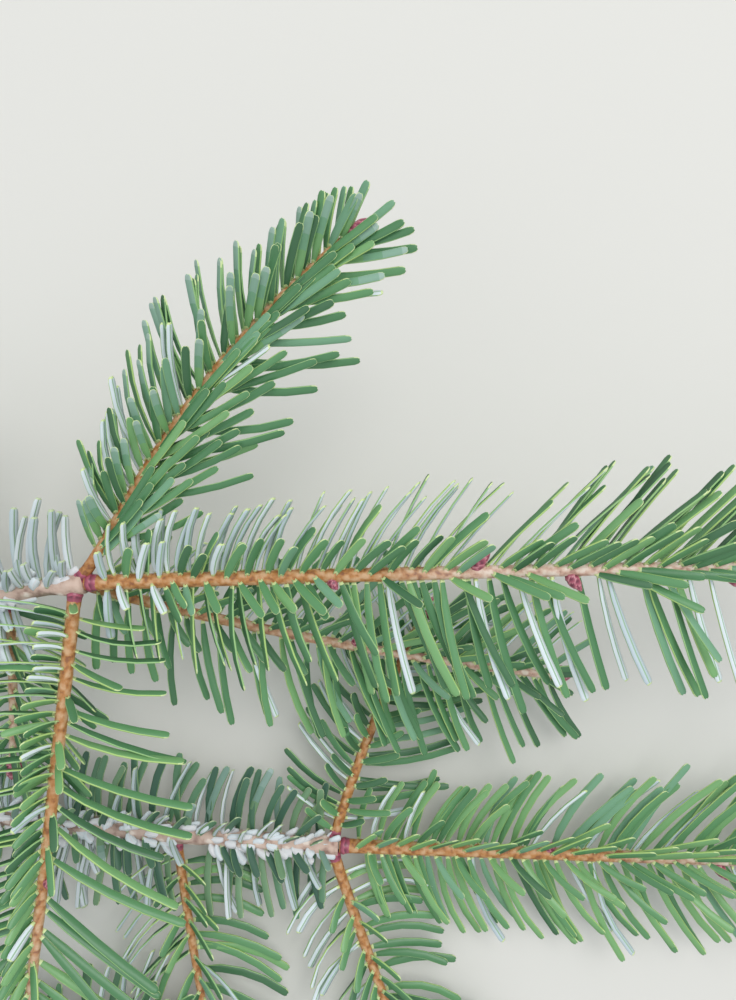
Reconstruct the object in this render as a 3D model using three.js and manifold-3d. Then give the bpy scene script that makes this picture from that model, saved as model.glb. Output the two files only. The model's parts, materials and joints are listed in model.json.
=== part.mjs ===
// A cut fir bough, lying down: one main stem with a large side stem on each flank, the twigs that
// leave them, and every twig's needles. Millimetres, +Z up. The main stem grows towards +X, and the
// bough rests on the tips of its lower needles, with the origin under the middle of its outline.
import * as THREE from "three";
import { mergeVertices } from "three/addons/utils/BufferGeometryUtils.js";
import Module from "manifold-3d";

const wasm = await Module();
wasm.setup();

// Driving dimensions. Angles are in degrees.
const CLEAR = 0.3; // gap between any two neighbouring pieces
const STEM_SIDES = 8;
const TWIG_SIDES = 3; // one edge on top, so that each flank is one flat side
const RING_STEP = { limb: 9, twig: 14, rib: 10 };
const RIB_RADIUS = 1; // of the slim core that carries the old needles on one flank of a limb
const KNEE = 8; // length over which a twig swings from its leaving angle to its own heading

// Needles: size, their spacing along a twig, and the bare foot of each twig. Those left on the limbs
// are shorter and stand further apart.
const NEEDLE = { length: 27, width: 3.2, thick: 1.3, pitch: 2.1, bareFoot: 5 };
const OLD_NEEDLE = { length: 20, pitch: 3.4 };
// How needles of a twig's back, and those of its flanks, stand: the angle from straight up, the
// angle from the way the twig grows, and their share of the full length.
const BACK = { around: 34, lean: 40, share: 0.74 };
const FLANK = { around: 106, lean: 61, share: 1 };
// Needles are shorter at the two ends of a twig: their share of the full length, over that part of it.
const SHORT_FOOT = { share: 0.62, reach: 0.18 };
const SHORT_TIP = { share: 0.6, reach: 0.24 };
const JITTER = { angle: 5, length: 0.07 };
const FLOOR = 0.3; // no needle tip is lower than this over the ground
const GOLDEN_ANGLE = 137.508;
const SEED_ANGLE = 61; // the needle spiral is turned on by this from one piece to the next

// Buds: one at each twig's end, as rings of its share of length and radius, and two beside it.
const BUD = { radius: 1.75, length: 5.2, rings: [[0.3, 0.92], [0.55, 1], [0.85, 0.6], [1, 0.15]] };
const SIDE_BUD = { radius: 1.25, length: 4, seat: 1.4, splay: 48 };

// Woody limbs. at: distance along the parent where it leaves. heading, sweep: where it points on
// plan, and how far it turns over its length. leave, drop: how much wider, and lower, it sets out.
const CUT_END = new THREE.Vector3(-214, -63, 7);
const LIMBS = {
  main_stem: { length: 207, heading: -10, sweep: 7, climb: 0.6, rise: 0.6, radii: [3, 2] },
  upper_stem: {
    parent: "main_stem", at: 52, length: 124, heading: 49, sweep: -43, climb: 24, rise: -16,
    leave: 14, radii: [2.1, 1.75],
  },
  lower_stem: {
    parent: "main_stem", at: 49, length: 118, heading: -57, sweep: 36, climb: 0, rise: 0,
    leave: -20, radii: [1.9, 1.6],
  },
};

// Last year's twigs: each is a stem with its needles and buds on it.
const TWIGS = {
  main_leader: {
    parent: "main_stem", length: 150, heading: -2, sweep: 1.5, climb: 0.6, rise: 3, radii: [1.7, 1.05],
  },
  main_upper_twig: {
    parent: "main_stem", at: 205.4, length: 68, heading: 74, sweep: -12, climb: 0, rise: 4, radii: [1.3, 0.9],
  },
  main_lower_twig: {
    parent: "main_stem", at: 205.2, length: 88, heading: -72, sweep: 4, climb: -1, rise: 0, radii: [1.4, 0.9],
  },
  main_inner_twig: {
    parent: "main_stem", at: 166, length: 58, heading: -83, sweep: 4, climb: -1, rise: 0, radii: [1.2, 0.8],
  },
  upper_leader: {
    parent: "upper_stem", length: 172, heading: 2, sweep: -1, climb: 2.5, rise: -2, radii: [1.65, 1.05],
  },
  upper_twig: {
    parent: "upper_stem", at: 121.5, length: 97, heading: 65.5, sweep: -31, climb: 13, rise: 0,
    leave: -26, radii: [1.3, 0.9],
  },
  lower_twig: {
    parent: "upper_stem", at: 122, length: 112, heading: -95, sweep: -3, climb: 3, rise: -6,
    radii: [1.45, 0.9],
  },
  under_twig: {
    parent: "upper_stem", at: 122.2, length: 122, heading: -17, sweep: 9, climb: -11, rise: 2,
    leave: -22, drop: -70, radii: [1.3, 0.9],
  },
  inner_twig: {
    parent: "upper_stem", at: 106, length: 46, heading: -94, sweep: -4, climb: -18, rise: 6,
    radii: [1.1, 0.8],
  },
  outer_twig: {
    parent: "upper_stem", at: 70, length: 58, heading: 88, sweep: -14, climb: 4, rise: 0, radii: [1.15, 0.8],
  },
  lower_leader: {
    parent: "lower_stem", length: 148, heading: -17, sweep: 6, climb: 0, rise: 3, radii: [1.5, 1],
  },
  lower_upper_twig: {
    parent: "lower_stem", at: 113, length: 42, heading: 28, sweep: -8, climb: 1, rise: 2, radii: [1.2, 0.8],
  },
  lower_lower_twig: {
    parent: "lower_stem", at: 112, length: 74, heading: -78, sweep: 10, climb: 0, rise: 0, radii: [1.2, 0.8],
  },
  lower_outer_twig: {
    parent: "lower_stem", at: 64, length: 52, heading: -104, sweep: 14, climb: 0, rise: 0, radii: [1.1, 0.8],
  },
};

// Stretches of old needles on the limbs, one slim core for each. side 1 is the left flank.
const RIBS = {
  main_old_needles_left: { limb: "main_stem", side: 1, from: 62, to: 196 },
  main_old_needles_right: { limb: "main_stem", side: -1, from: 60, to: 158 },
  main_end_needles_right: { limb: "main_stem", side: -1, from: 175, to: 197 },
  main_foot_needles_left: { limb: "main_stem", side: 1, from: 14, to: 44 },
  main_foot_needles_right: { limb: "main_stem", side: -1, from: 14, to: 41 },
  upper_old_needles_left: { limb: "upper_stem", side: 1, from: 12, to: 63 },
  upper_end_needles_left: { limb: "upper_stem", side: 1, from: 77, to: 114 },
  upper_old_needles_right: { limb: "upper_stem", side: -1, from: 12, to: 99 },
  lower_old_needles_left: { limb: "lower_stem", side: 1, from: 12, to: 106 },
  lower_old_needles_right: { limb: "lower_stem", side: -1, from: 12, to: 57 },
  lower_end_needles_right: { limb: "lower_stem", side: -1, from: 71, to: 106 },
};

const UP = new THREE.Vector3(0, 0, 1);
const { clamp, lerp, degToRad: radians } = THREE.MathUtils;

// An even scatter from -1 to 1 that depends only on the needle's number and its piece.
const SCATTER_STEPS = [0.618, 0.7549, 0.5698];
const scatter = (number, seed, k) => 2 * ((number * SCATTER_STEPS[k] + seed * 0.37) % 1) - 1;

const evenly = (from, to, step) => {
  const count = Math.max(1, Math.round((to - from) / step));
  return Array.from({ length: count + 1 }, (_, i) => from + ((to - from) * i) / count);
};

// A limb's or twig's centre line, walked in short steps from its start.
const WALK_STEPS = 96;
class Axis {
  constructor(start, { length, heading, sweep, climb, rise, leave = 0, drop = 0, radii }) {
    this.length = length;
    this.radii = radii;
    this.points = [start.clone()];
    for (let i = 0; i < WALK_STEPS; i++) {
      const share = (i + 0.5) / WALK_STEPS;
      const swing = Math.exp((-share * length) / KNEE);
      const h = radians(heading + sweep * share + leave * swing);
      const c = radians(climb + rise * share + drop * swing);
      const way = new THREE.Vector3(Math.cos(h) * Math.cos(c), Math.sin(h) * Math.cos(c), Math.sin(c));
      this.points.push(this.points[i].clone().addScaledVector(way, length / WALK_STEPS));
    }
  }

  // The point at s, also a little past either end.
  at(s) {
    const x = (s / this.length) * WALK_STEPS;
    const i = clamp(Math.floor(x), 0, WALK_STEPS - 1);
    return this.points[i].clone().lerp(this.points[i + 1], x - i);
  }

  // The way it grows, its left flank and its back, at s.
  frame(s) {
    const step = this.length / WALK_STEPS;
    const middle = clamp(s, step, this.length - step);
    const way = this.at(middle + step).sub(this.at(middle - step)).normalize();
    const left = UP.clone().cross(way).normalize();
    return { way, left, back: way.clone().cross(left) };
  }

  radius(s) {
    return lerp(this.radii[0], this.radii[1], s / this.length);
  }
}

// A side stem or twig starts on its parent's centre line, and a leader just past its parent's end.
const axes = {};
for (const [name, spec] of Object.entries({ ...LIMBS, ...TWIGS })) {
  const parent = axes[spec.parent];
  const start = parent ? parent.at(spec.at ?? parent.length + CLEAR) : CUT_END;
  axes[name] = new Axis(start, spec);
}

function solidOf(geometry) {
  const bare = geometry.clone().deleteAttribute("normal").deleteAttribute("uv");
  const merged = mergeVertices(bare);
  return new wasm.Manifold(
    new wasm.Mesh({
      numProp: 3,
      vertProperties: new Float32Array(merged.attributes.position.array),
      triVerts: new Uint32Array(merged.index.array),
    }),
  );
}

// The mesh of a solid's largest body, so that a scrap cut off it is dropped.
function meshOf(name, solid, material) {
  const bodies = solid.decompose().sort((a, b) => b.volume() - a.volume());
  const { vertProperties, triVerts, numProp } = bodies[0].getMesh();
  const geometry = new THREE.BufferGeometry();
  geometry.setAttribute("position", new THREE.Float32BufferAttribute(vertProperties, numProp));
  geometry.setIndex(new THREE.BufferAttribute(triVerts, 1));
  geometry.computeVertexNormals();
  const mesh = new THREE.Mesh(geometry, material);
  mesh.name = name;
  return mesh;
}

// A bar bent along an axis, with one edge along its back. Each ring is its place s and its radius,
// and shift moves the ring's middle off the axis.
function bar(axis, rings, sides, shift = () => new THREE.Vector3()) {
  const last = rings.length - 1;
  const geometry = new THREE.CylinderGeometry(1, 1, last, sides, last, false, Math.PI / 2);
  const place = geometry.attributes.position;
  for (let i = 0; i < place.count; i++) {
    const [s, radius] = rings[Math.round(place.getY(i) + last / 2)];
    const { left, back } = axis.frame(s);
    const point = axis.at(s).add(shift(s));
    point.addScaledVector(back, place.getX(i) * radius).addScaledVector(left, place.getZ(i) * radius);
    place.setXYZ(i, point.x, point.y, point.z);
  }
  return solidOf(geometry);
}

// A limb's or leader's round bar, or the same grown by the gap, which cuts its neighbours clear.
function roundBar(name, grow = 0) {
  const axis = axes[name];
  const places = evenly(-grow, axis.length + grow, RING_STEP.limb);
  return bar(axis, places.map((s) => [s, axis.radius(s) + grow]), STEM_SIDES);
}

// A needle: a slim three-sided spindle with its flat side up, widest half way along. In the sphere
// that it is made from, x is the needle's up, y its length and z its width.
const SPINDLE = new THREE.SphereGeometry(1, 3, 2);
const SPINDLE_SPAN = new THREE.Vector3(1.5, 2, Math.sqrt(3));

function needleSolid({ root, way, face, length }) {
  const across = face.clone().cross(way).normalize();
  const up = way.clone().cross(across);
  const matrix = new THREE.Matrix4().makeBasis(
    up.multiplyScalar(NEEDLE.thick / SPINDLE_SPAN.x),
    way.clone().multiplyScalar(length / SPINDLE_SPAN.y),
    across.multiplyScalar(NEEDLE.width / SPINDLE_SPAN.z),
  );
  matrix.setPosition(root.clone().addScaledVector(way, length / 2));
  return solidOf(SPINDLE.clone().applyMatrix4(matrix));
}

// The share of its full length that a needle has at this share of its twig.
function fullness(share) {
  const foot = lerp(SHORT_FOOT.share, 1, share / SHORT_FOOT.reach);
  const tip = lerp(SHORT_TIP.share, 1, (1 - share) / SHORT_TIP.reach);
  return Math.min(1, foot, tip);
}

// The needle rule: roots wind up the stem by the golden angle, and each needle is parted to the
// nearer flank and leans forward, those of the back more than those of the flank. full is the
// length of the longest ones. A piece on one flank only gives that side, 1 for the left one.
function needleAt(axis, number, s, seed, full = NEEDLE.length, side = 0, shift = new THREE.Vector3()) {
  const turn = ((number * GOLDEN_ANGLE + seed * SEED_ANGLE + 180) % 360) - 180;
  const low = Math.abs(turn) / 180;
  const flank = side || (turn < 0 ? -1 : 1);
  const around = radians(lerp(BACK.around, FLANK.around, low) + JITTER.angle * scatter(number, seed, 0));
  const lean = radians(lerp(BACK.lean, FLANK.lean, low) + JITTER.angle * scatter(number, seed, 1));
  const share = fullness(s / axis.length) * lerp(BACK.share, FLANK.share, low);
  const length = full * share * (1 + JITTER.length * scatter(number, seed, 2));
  const { way, left, back } = axis.frame(s);
  const out = left.multiplyScalar(flank * Math.sin(around)).addScaledVector(back, Math.cos(around));
  const root = axis.at(s).add(shift);
  const to = way.clone().multiplyScalar(Math.cos(lean)).addScaledVector(out, Math.sin(lean));
  to.z = Math.max(to.z, (FLOOR + NEEDLE.width / 2 - root.z) / length);
  return { root, way: to.normalize(), face: back.addScaledVector(way, 0.5), length };
}

// The shortest way between two straight lines, each from its a to its b.
function gapBetween(p, q) {
  const u = p.b.clone().sub(p.a);
  const v = q.b.clone().sub(q.a);
  const w = p.a.clone().sub(q.a);
  const [uu, uv, vv, uw, vw] = [u.dot(u), u.dot(v), v.dot(v), u.dot(w), v.dot(w)];
  const det = Math.max(uu * vv - uv * uv, 1e-9);
  let s = THREE.MathUtils.clamp((uv * vw - vv * uw) / det, 0, 1);
  const t = THREE.MathUtils.clamp((uv * s + vw) / vv, 0, 1);
  s = THREE.MathUtils.clamp((uv * t - uw) / uu, 0, 1);
  return w.addScaledVector(u, s).addScaledVector(v, -t).length();
}

// The space taken so far: every centre line, in short lines with a half width, and every needle.
const ROOM = { step: 6, spare: 0.6, root: 1.5 };
const taken = Object.entries(axes).flatMap(([owner, axis]) =>
  evenly(0, axis.length - ROOM.step, ROOM.step).map((s) => ({
    owner,
    a: axis.at(s),
    b: axis.at(s + ROOM.step),
    half: axis.radius(s) + ROOM.spare,
  })),
);

// A needle is skipped where it would touch a limb or twig, or anything of another piece.
function fits({ root, way, length }, owner) {
  const a = root.clone().addScaledVector(way, ROOM.root);
  const b = root.clone().addScaledVector(way, length);
  const line = { owner, a, b, half: NEEDLE.width / 2 };
  const clearOf = (other) => other.owner === owner || gapBetween(line, other) > line.half + other.half;
  const free = taken.every(clearOf);
  if (free) taken.push(line);
  return free;
}

// An egg-shaped bud of a sphere's few faces, pointing along way from its foot.
function sideBudSolid(foot, way) {
  const { radius, length, seat } = SIDE_BUD;
  const geometry = new THREE.SphereGeometry(1, 4, 3).scale(radius, length / 2, radius);
  geometry.applyQuaternion(new THREE.Quaternion().setFromUnitVectors(new THREE.Vector3(0, 1, 0), way));
  const middle = foot.clone().addScaledVector(way, seat);
  return solidOf(geometry.translate(middle.x, middle.y, middle.z));
}

// A twig's stem and its end bud in one bar, with a bud on each side of that.
function twigSolid(axis) {
  const foot = axis.length - BUD.length;
  const stem = evenly(0, foot, RING_STEP.twig).map((s) => [s, axis.radius(s)]);
  const bud = BUD.rings.map(([share, girth]) => [foot + BUD.length * share, BUD.radius * girth]);
  const { way, left } = axis.frame(axis.length);
  const splay = radians(SIDE_BUD.splay);
  return [-1, 1].reduce((solid, side) => {
    const aim = way.clone().multiplyScalar(Math.cos(splay)).addScaledVector(left, side * Math.sin(splay));
    return solid.add(sideBudSolid(axis.at(foot), aim));
  }, bar(axis, [...stem, ...bud], TWIG_SIDES));
}

const bark = new THREE.MeshStandardMaterial({ color: 0x7d6450, roughness: 0.85, metalness: 0 });
const foliage = new THREE.MeshStandardMaterial({ color: 0x3f7f3f, roughness: 0.5, metalness: 0 });
const oldFoliage = new THREE.MeshStandardMaterial({ color: 0x5f7f66, roughness: 0.55, metalness: 0 });
const bough = new THREE.Group();

for (const [name, { parent }] of Object.entries(LIMBS)) {
  const solid = roundBar(name);
  bough.add(meshOf(name, parent ? solid.subtract(roundBar(parent, CLEAR)) : solid, bark));
}

// Side twigs are cut clear of the limb that they leave, and of the leader that goes on from it.
Object.entries(TWIGS).forEach(([name, { parent, at }], seed) => {
  const axis = axes[name];
  let solid = twigSolid(axis);
  evenly(NEEDLE.bareFoot, axis.length - BUD.length, NEEDLE.pitch).forEach((s, number) => {
    const needle = needleAt(axis, number, s, seed);
    if (fits(needle, name)) solid = solid.add(needleSolid(needle));
  });
  if (at !== undefined) {
    const leader = parent.replace("stem", "leader");
    solid = solid.subtract(roundBar(parent, CLEAR)).subtract(roundBar(leader, CLEAR));
  }
  bough.add(meshOf(name, solid, foliage));
});

Object.entries(RIBS).forEach(([name, { limb, side, from, to }], seed) => {
  const axis = axes[limb];
  const shift = (s) => axis.frame(s).left.multiplyScalar(side * (axis.radius(s) + CLEAR + RIB_RADIUS));
  const rings = evenly(from, to, RING_STEP.rib).map((s) => [s, RIB_RADIUS]);
  let solid = bar(axis, rings, TWIG_SIDES, shift);
  evenly(from + RIB_RADIUS, to - RIB_RADIUS, OLD_NEEDLE.pitch).forEach((s, number) => {
    const needle = needleAt(axis, number, s, seed, OLD_NEEDLE.length, side, shift(s));
    if (fits(needle, limb)) solid = solid.add(needleSolid(needle));
  });
  bough.add(meshOf(name, solid.subtract(roundBar(limb, CLEAR)), oldFoliage));
});

// The origin goes under the middle of the outline, at the height of the lowest needle tip.
const box = new THREE.Box3().setFromObject(bough, true);
const middle = box.getCenter(new THREE.Vector3());
bough.position.set(-middle.x, -middle.y, -box.min.z);

export default bough;
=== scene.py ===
"""A cut fir bough on a pale floor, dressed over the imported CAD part.

The centre lines, the needle rule and every length in millimetres are the part's own, walked again
here, so that each needle, bud and piece of bark lies where its solid does. One millimetre frame,
the sheet, is used for all of them, and each finished piece is moved from it to the part's frame.
"""

import json
import logging
import math
from dataclasses import dataclass, field, replace
from enum import Enum

import bpy
import numpy as np
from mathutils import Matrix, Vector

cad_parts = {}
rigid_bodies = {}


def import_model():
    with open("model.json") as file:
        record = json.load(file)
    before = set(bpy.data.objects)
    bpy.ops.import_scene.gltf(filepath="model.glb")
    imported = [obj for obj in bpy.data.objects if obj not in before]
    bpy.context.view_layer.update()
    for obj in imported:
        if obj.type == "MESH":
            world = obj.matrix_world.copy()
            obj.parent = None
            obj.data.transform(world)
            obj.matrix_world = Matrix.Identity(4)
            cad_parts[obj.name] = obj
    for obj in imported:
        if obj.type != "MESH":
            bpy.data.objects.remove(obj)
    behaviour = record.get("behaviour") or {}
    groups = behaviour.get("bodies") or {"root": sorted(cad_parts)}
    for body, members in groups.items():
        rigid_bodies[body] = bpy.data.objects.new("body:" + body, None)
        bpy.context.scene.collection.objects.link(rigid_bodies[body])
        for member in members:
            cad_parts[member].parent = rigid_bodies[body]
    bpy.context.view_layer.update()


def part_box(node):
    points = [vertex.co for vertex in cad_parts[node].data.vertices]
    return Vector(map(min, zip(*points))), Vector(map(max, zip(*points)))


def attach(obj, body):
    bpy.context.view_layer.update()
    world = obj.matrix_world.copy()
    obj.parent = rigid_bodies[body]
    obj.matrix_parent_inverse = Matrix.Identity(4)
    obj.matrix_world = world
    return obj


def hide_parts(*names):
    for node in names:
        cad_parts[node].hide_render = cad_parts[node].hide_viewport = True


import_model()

log = logging.getLogger("fir_bough")

MM = 0.001
BODY = "root"
UP = np.array([0.0, 0.0, 1.0])

# The part's own numbers, in mm and degrees.
GOLDEN_ANGLE = 137.508
SEED_ANGLE = 61.0
WALK_STEPS = 96
KNEE = 8.0
CLEAR = 0.3
CUT_END = np.array([-214.0, -63.0, 7.0])
CAD_STEM_SIDES = 8
CAD_RING_STEP = 9.0
END_BUD_LENGTH = 5.2
FLOOR_GAP = 0.25


def linear(hex_colour: str) -> tuple[float, float, float, float]:
    """Turns an sRGB hex colour into the linear colour that a shader takes.

    Args:
        hex_colour: Six hex digits after a hash sign.

    Returns:
        Linear red, green and blue, and an alpha of one.
    """
    parts = [int(hex_colour[i : i + 2], 16) / 255.0 for i in (1, 3, 5)]
    curve = [c / 12.92 if c <= 0.04045 else ((c + 0.055) / 1.055) ** 2.4 for c in parts]
    return curve[0], curve[1], curve[2], 1.0


def unit(vectors: np.ndarray) -> np.ndarray:
    """Vectors divided by their lengths, along the last axis."""
    return vectors / np.maximum(np.linalg.norm(vectors, axis=-1, keepdims=True), 1e-9)


def square_to(vectors: np.ndarray, axis: np.ndarray) -> np.ndarray:
    """What is left of the vectors without their share along a unit axis, at length one."""
    return unit(vectors - np.sum(vectors * axis, axis=-1, keepdims=True) * axis)


def evenly(start: float, stop: float, step: float) -> np.ndarray:
    """Places from start to stop, both included, about a step apart."""
    count = max(1, int((stop - start) / step + 0.5))
    return np.linspace(start, stop, count + 1)


def full_turn(count: int) -> np.ndarray:
    """Angles evenly round a full turn, in radians."""
    return np.arange(count) * 2 * np.pi / count


# The plan of the bough, as the part's source lays it out.


@dataclass(frozen=True)
class ShootPlan:
    """One limb or twig: where it leaves its parent, its length and heading, in mm and degrees."""

    length: float
    heading: float
    sweep: float
    climb: float
    rise: float
    radii: tuple[float, float]
    parent: str | None = None
    at: float | None = None
    leave: float = 0.0
    drop: float = 0.0


LIMBS = {
    "main_stem": ShootPlan(207, -10, 7, 0.6, 0.6, (3, 2)),
    "upper_stem": ShootPlan(124, 49, -43, 24, -16, (2.1, 1.75), "main_stem", 52, 14),
    "lower_stem": ShootPlan(118, -57, 36, 0, 0, (1.9, 1.6), "main_stem", 49, -20),
}
TWIGS = {
    "main_leader": ShootPlan(150, -2, 1.5, 0.6, 3, (1.7, 1.05), "main_stem"),
    "main_upper_twig": ShootPlan(68, 74, -12, 0, 4, (1.3, 0.9), "main_stem", 205.4),
    "main_lower_twig": ShootPlan(88, -72, 4, -1, 0, (1.4, 0.9), "main_stem", 205.2),
    "main_inner_twig": ShootPlan(58, -83, 4, -1, 0, (1.2, 0.8), "main_stem", 166),
    "upper_leader": ShootPlan(172, 2, -1, 2.5, -2, (1.65, 1.05), "upper_stem"),
    "upper_twig": ShootPlan(97, 65.5, -31, 13, 0, (1.3, 0.9), "upper_stem", 121.5, -26),
    "lower_twig": ShootPlan(112, -95, -3, 3, -6, (1.45, 0.9), "upper_stem", 122),
    "under_twig": ShootPlan(122, -17, 9, -11, 2, (1.3, 0.9), "upper_stem", 122.2, -22, -70),
    "inner_twig": ShootPlan(46, -94, -4, -18, 6, (1.1, 0.8), "upper_stem", 106),
    "outer_twig": ShootPlan(58, 88, -14, 4, 0, (1.15, 0.8), "upper_stem", 70),
    "lower_leader": ShootPlan(148, -17, 6, 0, 3, (1.5, 1), "lower_stem"),
    "lower_upper_twig": ShootPlan(42, 28, -8, 1, 2, (1.2, 0.8), "lower_stem", 113),
    "lower_lower_twig": ShootPlan(74, -78, 10, 0, 0, (1.2, 0.8), "lower_stem", 112),
    "lower_outer_twig": ShootPlan(52, -104, 14, 0, 0, (1.1, 0.8), "lower_stem", 64),
}


class Flank(Enum):
    """The side of a shoot that its needles are parted to."""

    LEFT = 1
    RIGHT = -1


@dataclass(frozen=True)
class Stretch:
    """A stretch of one flank of a limb that still has its old needles, in mm along the limb."""

    limb: str
    flank: Flank
    start: float
    stop: float


STRETCHES = {
    "main_old_needles_left": Stretch("main_stem", Flank.LEFT, 62, 196),
    "main_old_needles_right": Stretch("main_stem", Flank.RIGHT, 60, 158),
    "main_end_needles_right": Stretch("main_stem", Flank.RIGHT, 175, 197),
    "main_foot_needles_left": Stretch("main_stem", Flank.LEFT, 14, 44),
    "main_foot_needles_right": Stretch("main_stem", Flank.RIGHT, 14, 41),
    "upper_old_needles_left": Stretch("upper_stem", Flank.LEFT, 12, 63),
    "upper_end_needles_left": Stretch("upper_stem", Flank.LEFT, 77, 114),
    "upper_old_needles_right": Stretch("upper_stem", Flank.RIGHT, 12, 99),
    "lower_old_needles_left": Stretch("lower_stem", Flank.LEFT, 12, 106),
    "lower_old_needles_right": Stretch("lower_stem", Flank.RIGHT, 12, 57),
    "lower_end_needles_right": Stretch("lower_stem", Flank.RIGHT, 71, 106),
}


class Family(Enum):
    """The three parts of the bough, each a limb with all that it carries."""

    MAIN = "main"
    UPPER = "upper"
    LOWER = "lower"


class CentreLine:
    """A shoot's centre line: short straight steps, whose heading and climb change along it."""

    def __init__(self, start: np.ndarray, plan: ShootPlan) -> None:
        """Walks the line: each step's heading is the plan's, plus its sweep so far, plus the swing
        from the leaving angle, which fades as the exponential of the way gone over the knee.

        Args:
            start: The line's first point, in the sheet.
            plan: The shoot's plan.
        """
        share = (np.arange(WALK_STEPS) + 0.5) / WALK_STEPS
        swing = np.exp(-share * plan.length / KNEE)
        heading = np.radians(plan.heading + plan.sweep * share + plan.leave * swing)
        climb = np.radians(plan.climb + plan.rise * share + plan.drop * swing)
        ways = np.stack([np.cos(heading) * np.cos(climb), np.sin(heading) * np.cos(climb), np.sin(climb)], 1)
        steps = np.cumsum(ways * plan.length / WALK_STEPS, axis=0)
        self.length = float(plan.length)
        self.radii = plan.radii
        self.points = start + np.concatenate([np.zeros((1, 3)), steps])

    def at(self, s: np.ndarray) -> np.ndarray:
        """Points of the line, read between the ends of its steps.

        Args:
            s: Distances along it in mm, also a little past either end.

        Returns:
            The points, in the sheet.
        """
        x = np.asarray(s, float) / self.length * WALK_STEPS
        i = np.clip(np.floor(x), 0, WALK_STEPS - 1).astype(int)
        return self.points[i] + (self.points[i + 1] - self.points[i]) * (x - i)[..., None]

    def axes(self, s: np.ndarray) -> tuple[np.ndarray, np.ndarray, np.ndarray]:
        """The shoot's own axes, from points a step before and after.

        Args:
            s: Distances along it.

        Returns:
            The way that it grows, its left flank and its back.
        """
        step = self.length / WALK_STEPS
        middle = np.clip(s, step, self.length - step)
        way = unit(self.at(middle + step) - self.at(middle - step))
        left = unit(np.cross(UP, way))
        return way, left, np.cross(way, left)

    def here(self, s: float) -> tuple[np.ndarray, ...]:
        """The point at one distance, and the way, the left flank and the back there."""
        place = np.array([s])
        return self.at(place)[0], *(axis[0] for axis in self.axes(place))

    def radius(self, s: np.ndarray) -> np.ndarray:
        """The plan's radius at the distances s."""
        return self.radii[0] + (self.radii[1] - self.radii[0]) * np.asarray(s, float) / self.length

    def skin(self, s: np.ndarray, angle: np.ndarray, reach: np.ndarray) -> np.ndarray:
        """Points round the line: its own point, plus the reach along its back turned by the angle
        towards its left flank.

        Args:
            s: Distances along the line.
            angle: Angles round it, in radians.
            reach: How far out each point lies, by distance and angle.

        Returns:
            The points, by distance and angle.
        """
        _, left, back = self.axes(s)
        ring = left[:, None] * np.sin(angle)[:, None] + back[:, None] * np.cos(angle)[:, None]
        return self.at(s)[:, None] + ring * reach[..., None]


def walk_bough() -> dict[str, CentreLine]:
    """Walks every limb's and twig's centre line.

    Returns:
        The lines by name, each starting on its parent's line, or just past its end.
    """
    lines: dict[str, CentreLine] = {}
    for name, plan in {**LIMBS, **TWIGS}.items():
        start = CUT_END
        if plan.parent:
            parent = lines[plan.parent]
            start = parent.at(np.array(parent.length + CLEAR if plan.at is None else plan.at))
        lines[name] = CentreLine(start, plan)
    return lines


# How the needles stand.

# Values that change along a shoot are given at these shares of its length, and read between them.
PLACES = (0.0, 0.15, 0.5, 1.0)
Run = tuple[float, float, float, float] | float


@dataclass(frozen=True)
class Tier:
    """One layer of a flank's needles: length in mm, lean from the way the shoot grows, rise over the
    shoot's own plane and roll about their own length, in degrees. A roll of 180 shows the pale side,
    and pale is the percentage of the needles that do so whatever their roll. bow is how far a
    needle's middle stands back, in hundredths of its length."""

    length: Run
    lean: Run
    rise: Run
    roll: Run = 0
    pale: Run = 0
    bow: Run = 4


@dataclass(frozen=True)
class Rank:
    """The needles of one flank: the long full tier, rooted low on the stem, and the short top tier
    over it. parting gives the shares of the way from the stem's back to its underside at which the
    top tier ends and the full one starts. kept is the share of the needles that this flank has,
    jitter the scatter of their angles in degrees, and droop how far their middles stand up, as a
    share of their length. pale_roll is the roll of its pale needles, and bloom the share of those
    whose tops are frosted: a white wax film, with painted sky sheen in its pale colour."""

    full: Tier
    top: Tier
    parting: tuple[float, float] = (0.28, 0.44)
    kept: float = 1.0
    jitter: float = 5.5
    droop: float = 0.0
    pale_roll: float = 170.0
    bloom_and_sheen: float = 0.0


# Blush shares for bark that stays orange brown to its tip.
NO_BLUSH = (2.0, 3.0)


@dataclass(frozen=True)
class Habit:
    """How a shoot wears its needles. tints are the percentages of the plain greens, blush gives the
    shares of the shoot between which its bark turns pink, pitch and width are the needles' in mm, and
    foot is the length of the shoot's bare foot."""

    left: Rank
    right: Rank
    tints: tuple[int, ...] = (20, 34, 28, 12, 6)
    blush: tuple[float, float] = (0.35, 0.6)
    pitch: float = 0.7
    width: float = 1.95
    foot: float = 4.2


FRONT_LEFT = Rank(
    Tier((13, 17, 25, 24), (94, 70, 54, 50), (28, 27, 24, 26), (164, 148, 118, 70), bow=(6, 6, 2, 0)),
    Tier((9, 10, 12.5, 13), (84, 64, 54, 40), (38, 40, 50, 60), (24, 10, 0, 0), (90, 10, 0, 0), (4, 4, 2, 1)),
    parting=(0.3, 0.46),
    jitter=7.5,
)
FRONT_RIGHT = Rank(
    Tier((12, 20, 27, 25), (88, 82, 72, 72), (-10, -7, -3, 0), (88, 86, 8, 8), (50, 0, 8, 40), (2, 4, 3, 0)),
    Tier((5, 9, 12.5, 13), (60, 66, 36, -4), (40, 38, 58, 62), (70, 20, 0, 0), (70, 0, 0, 0), (4, 3, 1, 0)),
    kept=0.62,
    jitter=7.5,
)
FRONT = Habit(FRONT_LEFT, FRONT_RIGHT, (14, 34, 30, 14, 8), blush=(0.36, 0.5), pitch=0.54, width=1.9)

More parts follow.
